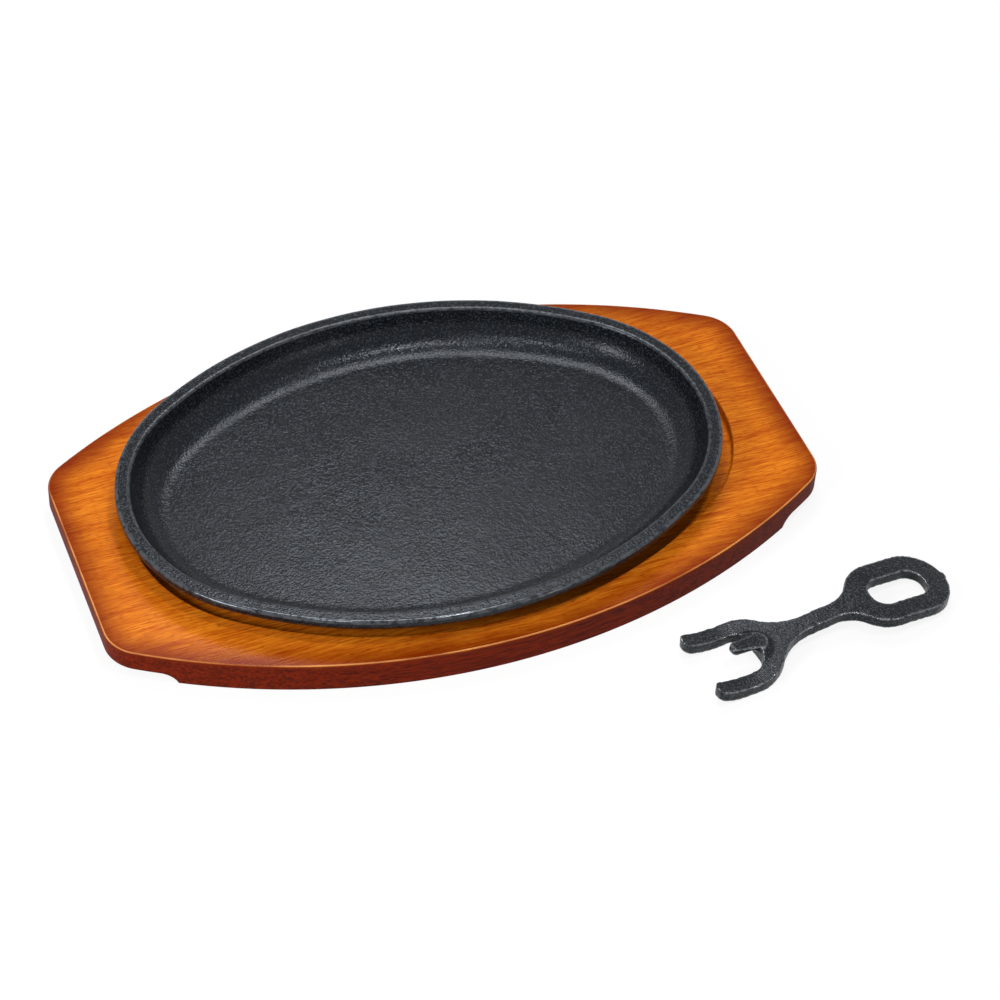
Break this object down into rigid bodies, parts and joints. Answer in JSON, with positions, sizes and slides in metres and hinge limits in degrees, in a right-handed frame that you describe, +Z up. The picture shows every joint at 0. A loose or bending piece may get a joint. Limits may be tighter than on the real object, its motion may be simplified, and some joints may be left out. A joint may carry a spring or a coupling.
{
  "type": "steak plate",
  "caption": "Oval cast iron steak plate in the recess of a stained wooden board, with a forked cast iron lifting handle lying beside it.",
  "frame": {"origin": "middle of the board's flat underside, on the surface that the set stands on", "axes": "+X along the board towards its right end, +Y across the board away from the handle, +Z up"},
  "size_m": [0.3151, 0.227, 0.026],
  "materials": {
    "plate_iron": "black sand-cast iron, oil seasoned, satin",
    "stained_wood": "orange-brown stain under gloss varnish, shaded darker at the edges",
    "gripper_iron": "black sand-cast iron, rough"
  },
  "bodies": {
    "root": {"plate": "plate_iron", "board": "stained_wood", "gripper": "gripper_iron"}
  },
  "joints": []
}
